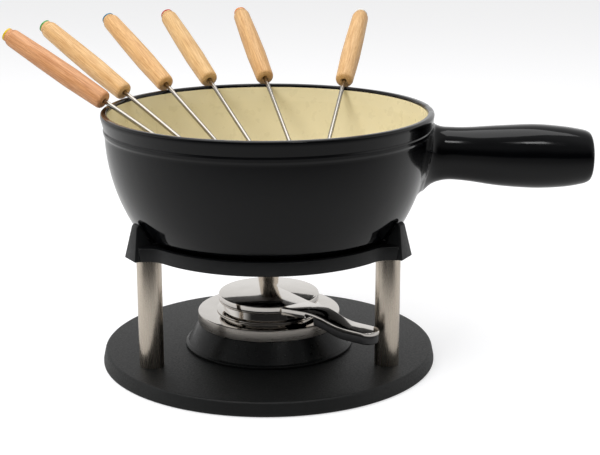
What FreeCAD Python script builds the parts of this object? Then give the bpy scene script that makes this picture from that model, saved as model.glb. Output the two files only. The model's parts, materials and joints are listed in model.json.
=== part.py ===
"""Fondue pot set: a three-post stand with its support ring, a burner with a snuffer lid, an enamelled
cast pot with one handle, and six forks. Millimetres, +Z up. The origin is the middle of the anti-slip
pad's underside, where the set stands on the table. The pot's handle points along +X."""

import FreeCAD, Part
import math
import os
import re
import Sketcher
from FreeCAD import Placement, Rotation, Vector

SIZES = {
    # Base plate and its anti-slip pad
    "base_radius": 114.3,
    "base_underside": 0.6,
    "base_top": 9.8,
    "base_draft": 1.6,
    "base_foot_height": 1.6,
    "base_edge_round": 1.9,
    "pad_clearance": 0.3,
    "pad_radius": 105.7,
    "pad_top": 2.6,
    # Posts and the bolts that run up through them
    "post_radius": 8.15,
    "post_bore": 6.6,
    "post_circle": 90.0,
    "bolt_radius": 3.0,
    "bolt_hole": 3.3,
    "bolt_head_radius": 5.2,
    "bolt_head_height": 3.0,
    "bolt_tip": 92.0,
    "head_recess_radius": 6.6,
    "washer_radius": 6.2,
    "washer_height": 1.0,
    # Support ring, its lugs and horns
    "ring_radius": 91.6,
    "ring_bottom": 84.2,
    "ring_top": 93.2,
    "ring_bore": 87.4,
    "ledge_bore": 60.0,
    "ledge_top": 87.2,
    "lug_reach": 100.4,
    "lug_half_width": 8.6,
    "lug_blend": 15.0,
    "horn_reach": 103.6,
    "horn_foot_half_width": 8.0,
    "horn_tip_half_width": 3.4,
    "horn_top": 107.4,
    "horn_lean": 3.9,
    "horn_tip_round": 1.3,
    # Pot
    "pot_radius": 110.8,
    "rim_height": 173.3,
    "rim_wall": 4.4,
    "rim_round": 1.5,
    "foot_bottom": 87.5,
    "foot_radius": 73.0,
    "foot_bore": 66.0,
    "pot_underside": 92.0,
    "pot_floor": 98.0,
    "belly_radius": 124.0,
    "bead_step": 0.9,
    "handle_end": 219.6,
    "handle_axis": 140.0,
    "handle_end_round": 3.0,
    # Burner
    "foot_rim_radius": 57.6,
    "foot_rim_height": 1.6,
    "burner_clearance": 0.3,
    "drum_radius": 48.8,
    "drum_bottom": 26.1,
    "drum_top": 33.9,
    "drum_edge_round": 0.7,
    "sheet_gauge": 1.0,
    "cup_radius": 31.5,
    "cup_bottom": 13.0,
    "cup_rim": 44.2,
    "cup_flange": 36.0,
    "cup_gauge": 0.9,
    "wick_top": 36.0,
    "gauze_height": 0.6,
    # Snuffer lid and its arm
    "lid_radius": 34.5,
    "lid_bottom": 40.5,
    "lid_top": 46.0,
    "lid_gauge": 1.5,
    "arm_angle": -38.0,
    "arm_offset": 10.0,
    "arm_half_width": 7.75,
    "arm_reach": 88.6,
    "arm_drop": 6.5,
    "arm_height": 3.0,
    "grip_height": 5.6,
    "grip_start": 17.0,
    "grip_inset": 0.5,
    "screw_head_radius": 2.6,
    "screw_head_height": 1.6,
    "screw_radius": 1.25,
    "screw_length": 7.0,
    # Forks
    "tine_tip_height": 99.3,
    "rim_rest_radius": 108.8,
    "rim_rest_height": 176.2,
    "fork_reach": 166.0,
    "wood_stand_off": 1.7,
    "shaft_radius": 1.5,
    "head_length": 36.0,
    "head_half_width": 4.0,
    "tine_width": 2.0,
    "head_height": 2.0,
    "wood_length": 87.0,
    "wood_radius": 7.2,
    "wood_end_radius": 6.2,
    "cap_radius": 4.8,
    "cap_length": 3.2,
    "tang_depth": 30.0,
}

POST_ANGLES = {"back": 90.0, "left": 210.0, "right": 330.0}

# Each fork: its angle on the rim, and the heading it leans out along.
FORKS = [(174.0, 153.5), (154.5, 142.0), (131.5, 127.5), (112.5, 117.0), (90.5, 104.5), (59.0, 77.0)]

doc = FreeCAD.newDocument("FonduePotSet")
sheet = doc.addObject("Spreadsheet::Sheet", "Sizes")
for row, (alias, number) in enumerate(SIZES.items(), start=1):
    sheet.set(f"A{row}", alias)
    sheet.set(f"B{row}", str(number))
    sheet.setAlias(f"B{row}", alias)
doc.recompute()

# One property that the document's own expressions are worked out in, to give a sketch's first corners.
probe = doc.addObject("App::FeaturePython", "Probe")
probe.addProperty("App::PropertyFloat", "Answer")


def linked(expression):
    """The same expression with every alias read from the sheet."""
    return re.sub(r"\b[a-z]+_[a-z_]+\b", lambda word: "Sizes." + word.group(0), str(expression))


def number(expression):
    """The value of an expression, as the document works it out."""
    probe.setExpression("Answer", linked(expression))
    probe.recompute()
    return float(probe.Answer)


def bind(item, **expressions):
    """Ties an object's sizes to the sheet."""
    for size, expression in expressions.items():
        item.setExpression(size, linked(expression))


# --- Sketches -------------------------------------------------------------------------------------


def bend(before, start, end, radius):
    """The middle point of an arc from start to end: on the right-hand side for radius > 0, and for
    "round" a half turn that carries on the way the outline was going."""
    chord = end - start
    if radius == "round":
        onward = (start - before) / start.distanceToPoint(before)
        return (start + end) / 2 + onward * chord.Length / 2
    radius = number(radius)
    across = Vector(chord.y, -chord.x, 0) / chord.Length
    sagitta = abs(radius) - math.sqrt(radius**2 - (chord.Length / 2) ** 2)
    return (start + end) / 2 + across * math.copysign(sagitta, radius)


def tie(sketch, kind, expression, *ends):
    """Adds one constraint and ties its value to the sheet."""
    sketch.addConstraint(Sketcher.Constraint(kind, *ends, number(expression)))
    sketch.setExpression(f"Constraints[{sketch.ConstraintCount - 1}]", linked(expression))


def draw_outline(sketch, corners):
    """A closed outline whose corners and arcs are tied to the sheet. A corner is (x, y), or
    (x, y, radius) where an arc of that radius leads on to the next corner."""
    places = [Vector(number(corner[0]), number(corner[1]), 0) for corner in corners]
    tips = []
    for index, corner in enumerate(corners):
        start = places[index]
        end = places[(index + 1) % len(places)]
        clockwise = False
        if len(corner) == 2:
            sketch.addGeometry(Part.LineSegment(start, end))
        else:
            middle = bend(places[index - 1], start, end, corner[2])
            clockwise = (middle - start).cross(end - middle).z < 0
            first, last = (end, start) if clockwise else (start, end)
            sketch.addGeometry(Part.ArcOfCircle(first, middle, last))
        tips.append((2, 1) if clockwise else (1, 2))
    for index, corner in enumerate(corners):
        smooth = len(corner) == 3 and corner[2] == "round"
        kind = "Tangent" if smooth else "Coincident"
        before = (index - 1) % len(corners)
        sketch.addConstraint(Sketcher.Constraint(kind, before, tips[before][1], index, tips[index][0]))
        tie(sketch, "DistanceX", corner[0], -1, 1, index, tips[index][0])
        tie(sketch, "DistanceY", corner[1], -1, 1, index, tips[index][0])
        if len(corner) == 3 and not smooth:
            tie(sketch, "Radius", f"abs({corner[2]})", index)


def new_body(name, plane, corners):
    """A PartDesign body with one sketch on its own XY or XZ plane."""
    body = doc.addObject("PartDesign::Body", name)
    sketch = body.newObject("Sketcher::SketchObject", name + "_sketch")
    origin_plane = next(item for item in body.Origin.OriginFeatures if item.Role == plane)
    sketch.AttachmentSupport = (origin_plane, [""])
    sketch.MapMode = "FlatFace"
    doc.recompute()
    draw_outline(sketch, corners)
    return body, sketch


def turned(name, corners):
    """A piece turned about the vertical axis, from corners given as (radius, height)."""
    body, sketch = new_body(name, "XZ_Plane", corners)
    feature = body.newObject("PartDesign::Revolution", name + "_turn")
    feature.Profile = sketch
    feature.ReferenceAxis = (sketch, ["V_Axis"])
    feature.Angle = 360.0
    doc.recompute()
    return body


def padded(name, plane, corners, length, midplane=False):
    """A plate of one outline. From the XZ plane its thickness runs along Y."""
    body, sketch = new_body(name, plane, corners)
    feature = body.newObject("PartDesign::Pad", name + "_pad")
    feature.Profile = sketch
    feature.Midplane = midplane
    bind(feature, Length=length)
    doc.recompute()
    return body


# --- Primitives and booleans ----------------------------------------------------------------------


def cylinder(name, radius, bottom, top, x=0.0, y=0.0):
    """An upright round bar between two heights."""
    bar = doc.addObject("Part::Cylinder", name)
    bar.Placement = Placement(Vector(x, y, 0), Rotation())
    expressions = {"Radius": radius, "Height": f"{top} - ({bottom})", "Placement.Base.z": bottom}
    bind(bar, **expressions)
    return bar


def fuse(name, pieces):
    joined = doc.addObject("Part::MultiFuse", name)
    joined.Shapes = pieces
    return joined


def cut(name, base, tool):
    result = doc.addObject("Part::Cut", name)
    result.Base = base
    result.Tool = tool
    return result


def common(name, pieces):
    result = doc.addObject("Part::MultiCommon", name)
    result.Shapes = pieces
    return result


def fillet_edges(name, base, radius, chosen):
    """Rounds the edges of base that the test chosen picks."""
    doc.recompute()
    edges = [index for index, edge in enumerate(base.Shape.Edges, start=1) if chosen(edge)]
    rounded = doc.addObject("Part::Fillet", name)
    rounded.Base = base
    rounded.Edges = [(index, number(radius), number(radius)) for index in edges]
    doc.recompute()
    return rounded


def circle_edge(radius, height):
    """A test for full circles of one radius at one height."""

    def chosen(edge):
        round_edge = hasattr(edge.Curve, "Radius") and abs(edge.Curve.Radius - number(radius)) < 0.01
        return round_edge and abs(edge.Curve.Center.z - number(height)) < 0.01

    return chosen


def post_places():
    """The x and y of the three post axes."""
    reach = number("post_circle")
    for angle in POST_ANGLES.values():
        yield reach * math.cos(math.radians(angle)), reach * math.sin(math.radians(angle))


def finish(item, label):
    """Names a finished piece, which is then written to its own file."""
    item.Label = label
    finished.append(item)
    return item


finished = []


# --- Stand ----------------------------------------------------------------------------------------


def make_base():
    plate = turned(
        "plate_blank",
        [
            (0, "pad_top"),
            ("pad_radius + pad_clearance", "pad_top"),
            ("pad_radius + pad_clearance", "base_underside"),
            ("base_radius", "base_underside"),
            ("base_radius", "base_underside + base_foot_height"),
            ("base_radius - base_draft", "base_top"),
            (0, "base_top"),
        ],
    )
    tools = []
    for index, (x, y) in enumerate(post_places()):
        tools.append(cylinder(f"plate_hole_{index}", "bolt_hole", 0, "base_top + 1", x, y))
        recess_top = "pad_top + bolt_head_height + washer_height + 0.1"
        tools.append(cylinder(f"plate_recess_{index}", "head_recess_radius", 0, recess_top, x, y))
    drilled = cut("plate_drilled", plate, fuse("plate_holes", tools))
    soft_edge = fillet_edges(
        "base_plate", drilled, "base_edge_round", circle_edge("base_radius - base_draft", "base_top")
    )
    finish(soft_edge, "base_plate")
    finish(cylinder("base_pad", "pad_radius", 0, "pad_top"), "base_pad")


def make_posts():
    for label, (x, y) in zip(POST_ANGLES, post_places()):
        tube = cylinder(f"tube_{label}", "post_radius", "base_top", "ring_bottom", x, y)
        bore = cylinder(f"bore_{label}", "post_bore", "base_top - 1", "ring_bottom + 1", x, y)
        finish(cut(f"post_{label}", tube, bore), f"post_{label}")


def make_bolts():
    bolts = []
    washers = []
    head_bottom = "pad_top + 0.1"
    head_top = head_bottom + " + bolt_head_height"
    washer_top = head_top + " + washer_height"
    for index, (x, y) in enumerate(post_places()):
        head = cylinder(f"bolt_head_{index}", "bolt_head_radius", head_bottom, head_top, x, y)
        shank = cylinder(f"bolt_shank_{index}", "bolt_radius - 0.05", head_top, "bolt_tip", x, y)
        bolts.append(fuse(f"bolt_{index}", [head, shank]))
        disc = cylinder(f"washer_disc_{index}", "washer_radius", head_top, washer_top, x, y)
        hole = cylinder(f"washer_hole_{index}", "bolt_hole", 0, "base_top", x, y)
        washers.append(cut(f"washer_{index}", disc, hole))
    finish(fuse("tie_bolts", bolts), "tie_bolts")
    finish(fuse("bolt_washers", washers), "bolt_washers")


def make_ring():
    band = turned(
        "ring_band",
        [
            ("ledge_bore", "ring_bottom"),
            ("ring_radius", "ring_bottom"),
            ("ring_radius", "ring_top"),
            ("ring_bore", "ring_top"),
            ("ring_bore", "ledge_top"),
            ("ledge_bore", "ledge_top"),
        ],
    )
    lugs = []
    for index, angle in enumerate(POST_ANGLES.values()):
        lug = padded(
            f"lug_{index}",
            "XY_Plane",
            [
                ("ledge_bore + 10", "-lug_half_width - lug_blend"),
                ("lug_reach", "-lug_half_width + 0.4"),
                ("lug_reach", "lug_half_width - 0.4"),
                ("ledge_bore + 10", "lug_half_width + lug_blend"),
            ],
            "ring_top - ring_bottom",
        )
        bind(lug, **{"Placement.Base.z": "ring_bottom"})
        lug.Placement = Placement(Vector(0, 0, number("ring_bottom")), Rotation(Vector(0, 0, 1), angle))
        lugs.append(lug)
    bore = cylinder("lug_bore", "ring_bore", "ledge_top", "ring_top + 1")
    ring_floor = cylinder("ledge_hole", "ledge_bore", "ring_bottom - 1", "ring_top + 1")
    blank = cut("ring_blank", fuse("ring_with_lugs", [band, *lugs]), fuse("ring_bores", [bore, ring_floor]))

    def corner_of_lug(edge):
        upright = abs(edge.Vertexes[0].Z - edge.Vertexes[-1].Z) > 5
        reach = math.hypot(edge.Vertexes[0].X, edge.Vertexes[0].Y)
        return upright and abs(reach - number("ring_radius")) < 0.01 and edge.Curve.TypeId == "Part::GeomLine"

    blended = fillet_edges("ring_blended", blank, "lug_blend", corner_of_lug)
    horns = [make_horn(index, angle) for index, angle in enumerate(POST_ANGLES.values())]
    holes = []
    for index, (x, y) in enumerate(post_places()):
        holes.append(cylinder(f"ring_hole_{index}", "bolt_radius", "ring_bottom - 1", "bolt_tip + 0.5", x, y))
    solid = fuse("ring_solid", [blended, *horns])
    finish(cut("support_ring", solid, fuse("ring_holes", holes)), "support_ring")


def make_horn(index, angle):
    """A tapered tongue that leans in over the ring and follows the pot's wall."""
    side = padded(
        f"horn_side_{index}",
        "XZ_Plane",
        [
            ("ring_bore", "ring_bottom"),
            ("horn_reach", "ring_bottom"),
            ("horn_reach - horn_lean", "horn_top - horn_tip_round"),
            ("horn_reach - horn_lean - horn_tip_round", "horn_top"),
            ("ring_bore + 9.4", "horn_top"),
            ("ring_bore + 7.8", "horn_top - 2.8"),
            ("ring_bore + 5.2", "ring_top + 5.8"),
            ("ring_bore + 3", "ring_top + 1"),
            ("ring_bore", "ring_top"),
        ],
        "lug_half_width * 3",
        midplane=True,
    )
    front = doc.addObject("PartDesign::Body", f"horn_front_{index}")
    sketch = front.newObject("Sketcher::SketchObject", f"horn_front_sketch_{index}")
    sketch.AttachmentSupport = (
        next(item for item in front.Origin.OriginFeatures if item.Role == "YZ_Plane"),
        [""],
    )
    sketch.MapMode = "FlatFace"
    doc.recompute()
    draw_outline(
        sketch,
        [
            ("-horn_foot_half_width", "ring_bottom"),
            ("horn_foot_half_width", "ring_bottom"),
            ("horn_tip_half_width", "horn_top + 1"),
            ("-horn_tip_half_width", "horn_top + 1"),
        ],
    )
    pad = front.newObject("PartDesign::Pad", f"horn_front_pad_{index}")
    pad.Profile = sketch
    bind(pad, Length="post_circle * 2")
    doc.recompute()
    horn = common(f"horn_{index}", [side, front])
    horn.Placement = Placement(Vector(), Rotation(Vector(0, 0, 1), angle))
    return horn


# --- Burner and snuffer lid -----------------------------------------------------------------------


def make_burner():
    lip = "base_top + burner_clearance"
    foot = turned(
        "burner_foot",
        [
            ("foot_rim_radius - 1.2", lip),
            ("foot_rim_radius", lip),
            ("foot_rim_radius", lip + " + foot_rim_height"),
            ("foot_rim_radius - 1.8", lip + " + foot_rim_height + 0.8"),
            ("drum_radius - 0.6", "drum_bottom"),
            ("cup_flange + 2", "drum_bottom"),
            ("cup_flange + 2", "drum_bottom - sheet_gauge"),
            ("drum_radius - 1.6", "drum_bottom - sheet_gauge"),
            ("foot_rim_radius - 3", lip + " + foot_rim_height"),
        ],
    )
    finish(foot, "burner_foot")
    drum = turned(
        "drum_blank",
        [
            ("drum_radius - sheet_gauge", "drum_bottom"),
            ("drum_radius", "drum_bottom"),
            ("drum_radius", "drum_top"),
            ("cup_radius + 0.2", "drum_top"),
            ("cup_radius + 0.2", "drum_top - sheet_gauge"),
            ("drum_radius - sheet_gauge", "drum_top - sheet_gauge"),
        ],
    )
    rounded = fillet_edges(
        "burner_drum", drum, "drum_edge_round", circle_edge("drum_radius", "drum_top")
    )
    finish(rounded, "burner_drum")
    cup = turned(
        "fuel_cup",
        [
            (0, "cup_bottom"),
            ("cup_radius", "cup_bottom"),
            ("cup_radius", "drum_top + 0.1"),
            ("cup_flange", "drum_top + 0.1"),
            ("cup_flange", "drum_top + cup_gauge"),
            ("cup_radius", "drum_top + cup_gauge"),
            ("cup_radius", "cup_rim"),
            ("cup_radius - cup_gauge", "cup_rim"),
            ("cup_radius - cup_gauge", "cup_bottom + cup_gauge"),
            (0, "cup_bottom + cup_gauge"),
        ],
    )
    finish(cup, "fuel_cup")
    inside = "cup_radius - cup_gauge"
    finish(cylinder("wick_pad", inside, "cup_bottom + cup_gauge", "wick_top"), "wick_pad")
    finish(cylinder("wire_gauze", inside, "wick_top", "wick_top + gauze_height"), "wire_gauze")


def make_arm_prism(name, root, inset):
    """The arm's outline seen from above, along its own direction, as a tall prism: it leaves the lid
    along the lid's near edge and ends in a full round."""
    near = f"-arm_offset - arm_half_width + {inset}"
    far = f"-arm_offset + arm_half_width - {inset}"
    corners = [
        (root, f"-lid_radius * 0.75 + {inset}"),
        ("arm_reach * 0.5", f"{near} - 3.2"),
        ("arm_reach * 0.72", near),
        ("arm_reach", near, "round"),
        ("arm_reach", far),
        ("lid_radius + 8", far),
        ("lid_radius + 1", f"{far} + 1.6"),
        (root, f"{far} + 6"),
    ]
    return padded(name, "XY_Plane", corners, "lid_top + 10")


def s_drop(name, top, bottom):
    """A band seen from the side that runs level, drops in a smooth S and runs level again."""
    bend_start = "lid_radius + 10"
    bend_end = "arm_reach - 12"
    middle = f"({bend_start} + {bend_end}) / 2"
    half_run = number(f"({bend_end} - ({bend_start})) / 2")
    half_drop = number("arm_drop / 2")
    radius = (half_run**2 + half_drop**2) / (2 * half_drop)
    corners = [
        ("lid_radius - 6", top),
        (bend_start, top, -radius),
        (middle, f"{top} - arm_drop / 2", radius),
        (bend_end, f"{top} - arm_drop"),
        ("arm_reach + 20", f"{top} - arm_drop"),
        ("arm_reach + 20", f"{bottom} - arm_drop"),
        (bend_end, f"{bottom} - arm_drop", -radius),
        (middle, f"{bottom} - arm_drop / 2", radius),
        (bend_start, bottom),
        ("lid_radius - 6", bottom),
    ]
    return padded(name, "XZ_Plane", corners, "lid_radius * 4", midplane=True)


def arm_stretch(name, start, end):
    """A block that holds the arm between two distances from the burner's axis."""
    block = doc.addObject("Part::Box", name)
    bind(block, Length=f"{end} - ({start})", Width="lid_radius * 4", Height="lid_top + 5")
    bind(block, **{"Placement.Base.x": start, "Placement.Base.y": "-lid_radius * 2"})
    return block


def make_grip_screws():
    """Two screws that hold the grip under the arm, and the space that they take up."""
    screws = []
    holes = []
    places = {"arm_reach * 0.72": 2.4, "arm_reach * 0.95": 0}
    for index, (along, inset) in enumerate(places.items()):
        x = number(along)
        y = number("-arm_offset")
        underside = f"lid_top - arm_drop - arm_height - grip_height + {inset}"
        head_top = f"{underside} + screw_head_height"
        tip = f"{underside} + screw_length"
        head = cylinder(f"screw_head_{index}", "screw_head_radius", underside, head_top, x, y)
        shank = cylinder(f"screw_shank_{index}", "screw_radius", head_top, tip, x, y)
        screws.append(fuse(f"screw_{index}", [head, shank]))
        recess = cylinder(f"screw_recess_{index}", "screw_head_radius", "drum_bottom", head_top, x, y)
        bore = cylinder(f"screw_bore_{index}", "screw_radius", "drum_bottom", tip, x, y)
        holes.append(fuse(f"screw_hole_{index}", [recess, bore]))
    return fuse("grip_screws", screws), fuse("screw_holes", holes)


def make_lid():
    cap = turned(
        "lid_cap",
        [
            (0, "lid_top - lid_gauge"),
            ("lid_radius - lid_gauge", "lid_top - lid_gauge"),
            ("lid_radius - lid_gauge", "lid_bottom"),
            ("lid_radius", "lid_bottom"),
            ("lid_radius", "lid_top"),
            (0, "lid_top"),
        ],
    )
    plan = make_arm_prism("arm_plan", "lid_radius * 0.5", 0)
    arm = common("arm_blank", [plan, s_drop("arm_side", "lid_top", "lid_top - arm_height")])
    skirt = common("arm_skirt", [plan, s_drop("skirt_side", "lid_top", "lid_bottom")])
    short_skirt = common("arm_short_skirt", [skirt, arm_stretch("skirt_limit", "0", "lid_radius + 12")])
    hollow = cylinder("lid_hollow", "lid_radius - lid_gauge", "lid_bottom - 1", "lid_top - lid_gauge")

    grip_plan = make_arm_prism("grip_plan", "lid_radius + 12", "grip_inset")
    grip_side = s_drop("grip_side", "lid_top - arm_height", "lid_top - arm_height - grip_height")
    grip_length = arm_stretch("grip_limit", "lid_radius + grip_start", "arm_reach + 20")
    grip = common("grip_blank", [grip_plan, grip_side, grip_length])

    screws, screw_holes = make_grip_screws()
    core = fuse("lid_core", [cap, arm, short_skirt])
    lid = cut("snuffer_lid", core, fuse("lid_hollows", [hollow, screw_holes]))
    turn = Placement(Vector(), Rotation(Vector(0, 0, 1), number("arm_angle")))
    for piece, label in ((lid, "snuffer_lid"), (cut("lid_grip", grip, screw_holes), "lid_grip")):
        piece.Placement = turn
        finish(piece, label)
    screws.Placement = turn
    finish(screws, "grip_screws")


# --- Pot ------------------------------------------------------------------------------------------


def make_pot():
    outside = turned(
        "pot_outside",
        [
            (0, "pot_underside"),
            ("foot_bore", "pot_underside"),
            ("foot_bore + 1", "foot_bottom"),
            ("foot_radius", "foot_bottom"),
            ("foot_radius + 1.5", "foot_bottom + 1.5"),
            ("foot_radius + 6.5", "foot_bottom + 2.4"),
            ("foot_radius + 16", "pot_underside + 2.6", "belly_radius"),
            ("pot_radius - 2.4", "rim_height - 15"),
            ("pot_radius - 2.2 + bead_step", "rim_height - 14"),
            ("pot_radius - 1.9 + bead_step", "rim_height - 11"),
            ("pot_radius - 1.7", "rim_height - 10"),
            ("pot_radius", "rim_height - 3"),
            ("pot_radius", "rim_height"),
            (0, "rim_height"),
        ],
    )
    handle = make_pot_handle()
    inside = turned(
        "pot_inside",
        [
            (0, "pot_floor"),
            ("foot_bore - 2", "pot_floor", "rim_wall * 5"),
            ("foot_bore + 18", "pot_floor + 6", "belly_radius - 6"),
            ("pot_radius - rim_wall - 1.6", "rim_height - 12"),
            ("pot_radius - rim_wall", "rim_height"),
            ("pot_radius - rim_wall", "rim_height + 5"),
            (0, "rim_height + 5"),
        ],
    )
    blank = fuse("pot_blank", [outside, handle])
    hollow = cut("pot_hollow", blank, inside)
    rim = fillet_edges(
        "pot_rim",
        hollow,
        "rim_round",
        lambda edge: circle_edge("pot_radius", "rim_height")(edge)
        or circle_edge("pot_radius - rim_wall", "rim_height")(edge),
    )
    finish(rim, "pot_casting")


def make_pot_handle():
    """The handle is a loft of ovals: (distance from the pot's axis, top height, bottom height, width)."""
    ovals = [
        (92.0, 164.0, 110.0, 42.0),
        (102.0, 163.2, 115.2, 38.0),
        (108.6, 162.0, 119.2, 34.5),
        (115.0, 161.2, 122.6, 32.0),
        (125.0, 160.5, 124.8, 30.5),
        (139.0, 160.2, 123.8, 31.5),
        (160.0, 161.2, 120.6, 36.0),
        (184.0, 161.9, 118.8, 38.5),
        (202.0, 160.4, 119.4, 38.0),
        (213.6, 157.6, 122.0, 34.0),
        (217.8, 154.0, 126.4, 27.0),
    ]
    sections = []
    for index, (reach, top, bottom, width) in enumerate(ovals):
        oval = doc.addObject("Part::Ellipse", f"handle_oval_{index}")
        tall = (top - bottom) > width
        major = max(top - bottom, width) / 2
        minor = min(top - bottom, width) / 2
        oval.MajorRadius = major
        oval.MinorRadius = minor
        upright = Rotation(Vector(0, 1, 0), 90)
        spin = Rotation(Vector(1, 0, 0), 0 if tall else 90)
        height = (top + bottom) / 2
        oval.Placement = Placement(Vector(reach, 0, height), spin.multiply(upright))
        bind(oval, **{"Placement.Base.x": f"handle_end - {number('handle_end') - reach}"})
        bind(oval, **{"Placement.Base.z": f"handle_axis + {height - number('handle_axis')}"})
        sections.append(oval)
    loft = doc.addObject("Part::Loft", "pot_handle")
    loft.Sections = sections
    loft.Solid = True
    loft.Ruled = False
    doc.recompute()
    end = fillet_edges(
        "pot_handle_end",
        loft,
        "handle_end_round",
        lambda edge: edge.BoundBox.XMin > number("handle_end") - 2.5,
    )
    return end


# --- Forks ----------------------------------------------------------------------------------------


def fork_placement(rim_angle, heading):
    """Where a fork lies: its tines on the pot's floor, its shaft on the rim and its wood just outside."""
    reach = number("fork_reach - wood_stand_off")
    rise = number("rim_rest_height - tine_tip_height")
    slope = math.degrees(math.asin(rise / reach))
    direction = Rotation(Vector(0, 0, 1), heading).multiply(Rotation(Vector(0, 1, 0), -slope))
    around = math.radians(rim_angle)
    rest = Vector(math.cos(around), math.sin(around), 0) * number("rim_rest_radius")
    rest.z = number("rim_rest_height")
    tip = rest - direction.multVec(Vector(reach, 0, 0))
    return Placement(tip, direction)


def make_fork(index, rim_angle, heading):
    """One fork along +X from its tine tips, then laid in the pot."""
    lie = fork_placement(rim_angle, heading)
    gap = "head_half_width - tine_width"
    head = padded(
        f"fork_head_{index}",
        "XY_Plane",
        [
            (0, "head_half_width - 0.9"),
            (5, gap),
            ("head_length - 13", gap, "round"),
            ("head_length - 13", f"-({gap})"),
            (5, f"-({gap})"),
            (0, "-head_half_width + 0.9"),
            (4, "-head_half_width"),
            ("head_length - 10", "-head_half_width"),
            ("head_length - 2", "-shaft_radius"),
            ("head_length + 1", "-shaft_radius"),
            ("head_length + 1", "shaft_radius"),
            ("head_length - 2", "shaft_radius"),
            ("head_length - 10", "head_half_width"),
            (4, "head_half_width"),
        ],
        "head_height",
        midplane=True,
    )
    shaft = doc.addObject("Part::Cylinder", f"fork_shaft_{index}")
    shaft.Placement = Placement(Vector(), Rotation(Vector(0, 1, 0), 90))
    bind(shaft, Radius="shaft_radius", Height="fork_reach + tang_depth - head_length")
    bind(shaft, **{"Placement.Base.x": "head_length"})
    prongs = fuse(f"fork_{index}_prongs", [head, shaft])
    prongs.Placement = lie
    finish(prongs, f"fork_{index}_prongs")

    along = Placement(Vector(), Rotation(Vector(0, 1, 0), 90))
    wood_blank = turned(
        f"fork_wood_{index}",
        [
            ("shaft_radius", "fork_reach"),
            ("wood_end_radius - 1", "fork_reach"),
            ("wood_end_radius + 0.3", "fork_reach + 1.4"),
            ("wood_radius", "fork_reach + 30"),
            ("wood_radius - 0.3", "fork_reach + 55"),
            ("wood_end_radius", "fork_reach + wood_length - 4", "-4"),
            ("cap_radius", "fork_reach + wood_length - 0.8"),
            ("cap_radius", "fork_reach + wood_length"),
            ("cap_radius * 0.6", "fork_reach + wood_length"),
            ("cap_radius * 0.6", "fork_reach + wood_length - 6"),
            (0, "fork_reach + wood_length - 6"),
            (0, "fork_reach + tang_depth"),
            ("shaft_radius", "fork_reach + tang_depth"),
        ],
    )
    wood_blank.Placement = lie.multiply(along)
    finish(wood_blank, f"fork_{index}_wood")
    cap = turned(
        f"fork_cap_{index}",
        [
            (0, "fork_reach + wood_length - 6"),
            ("cap_radius * 0.6", "fork_reach + wood_length - 6"),
            ("cap_radius * 0.6", "fork_reach + wood_length"),
            ("cap_radius", "fork_reach + wood_length"),
            ("cap_radius", "fork_reach + wood_length + 0.6"),
            ("cap_radius * 0.6", "fork_reach + wood_length + cap_length - 0.5"),
            (0, "fork_reach + wood_length + cap_length"),
        ],
    )
    cap.Placement = lie.multiply(along)
    finish(cap, f"fork_{index}_cap")


# --- The whole set --------------------------------------------------------------------------------

make_base()
make_posts()
make_bolts()
make_ring()
make_burner()
make_lid()
make_pot()
for fork, (rim_angle, heading) in enumerate(FORKS, start=1):
    make_fork(fork, rim_angle, heading)

doc.removeObject("Probe")
doc.recompute()
for item in doc.Objects:
    if "Invalid" in item.State or "Error" in item.State:
        raise SystemExit(f"{item.Label} failed: {item.State}")
for item in finished:
    if item.Shape.isNull() or not item.Shape.isValid() or not item.Shape.Solids:
        raise SystemExit(f"{item.Label} has no valid solid")

os.makedirs("parts", exist_ok=True)
for item in finished:
    item.Shape.exportStep(os.path.join("parts", item.Label + ".step"))
    print(f"{item.Label}: {len(item.Shape.Solids)} solid(s), {item.Shape.Volume / 1000:.2f} cm3")
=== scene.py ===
"""The finished looks of the fondue pot set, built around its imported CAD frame. Metres, +Z up."""

import json
import math

import bmesh
import bpy
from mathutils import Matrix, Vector
from mathutils.bvhtree import BVHTree


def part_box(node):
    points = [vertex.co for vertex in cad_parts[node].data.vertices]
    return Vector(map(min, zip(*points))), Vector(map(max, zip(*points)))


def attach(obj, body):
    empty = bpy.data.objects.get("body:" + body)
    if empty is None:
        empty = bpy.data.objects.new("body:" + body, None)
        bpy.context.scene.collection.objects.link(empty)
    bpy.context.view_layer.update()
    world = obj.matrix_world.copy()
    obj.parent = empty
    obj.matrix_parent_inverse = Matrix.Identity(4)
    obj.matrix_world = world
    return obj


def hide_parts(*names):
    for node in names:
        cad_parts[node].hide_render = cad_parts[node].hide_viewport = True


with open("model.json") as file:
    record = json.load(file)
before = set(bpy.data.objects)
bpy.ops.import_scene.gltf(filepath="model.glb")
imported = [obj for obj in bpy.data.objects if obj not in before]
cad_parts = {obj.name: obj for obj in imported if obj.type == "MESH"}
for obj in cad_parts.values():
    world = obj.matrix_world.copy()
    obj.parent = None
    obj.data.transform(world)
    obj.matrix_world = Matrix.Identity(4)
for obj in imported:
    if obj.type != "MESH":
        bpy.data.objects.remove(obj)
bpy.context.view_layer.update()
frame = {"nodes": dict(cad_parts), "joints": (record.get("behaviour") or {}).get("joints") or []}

MM = 0.001
UP = Vector((0, 0, 1))


# --- Nodes and colours ----------------------------------------------------------------------------


def linear(hex_colour):
    """A colour written as sRGB hex, as the linear values that a shader takes."""
    shares = [int(hex_colour[at : at + 2], 16) / 255 for at in (1, 3, 5)]
    return [v / 12.92 if v <= 0.04045 else ((v + 0.055) / 1.055) ** 2.4 for v in shares] + [1.0]


def add(tree, kind, sockets=(), **settings):
    """Adds a node. sockets gives each input, by name or number, a value or another node's output."""
    node = tree.nodes.new(kind)
    for name, value in settings.items():
        setattr(node, name, value)
    for key, value in dict(sockets).items():
        if isinstance(value, bpy.types.NodeSocket):
            tree.links.new(value, node.inputs[key])
        else:
            node.inputs[key].default_value = value
    return node


def per_metre(size_mm):
    """The pattern scale that gives features of about this size."""
    return 1 / (size_mm * MM)


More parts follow.
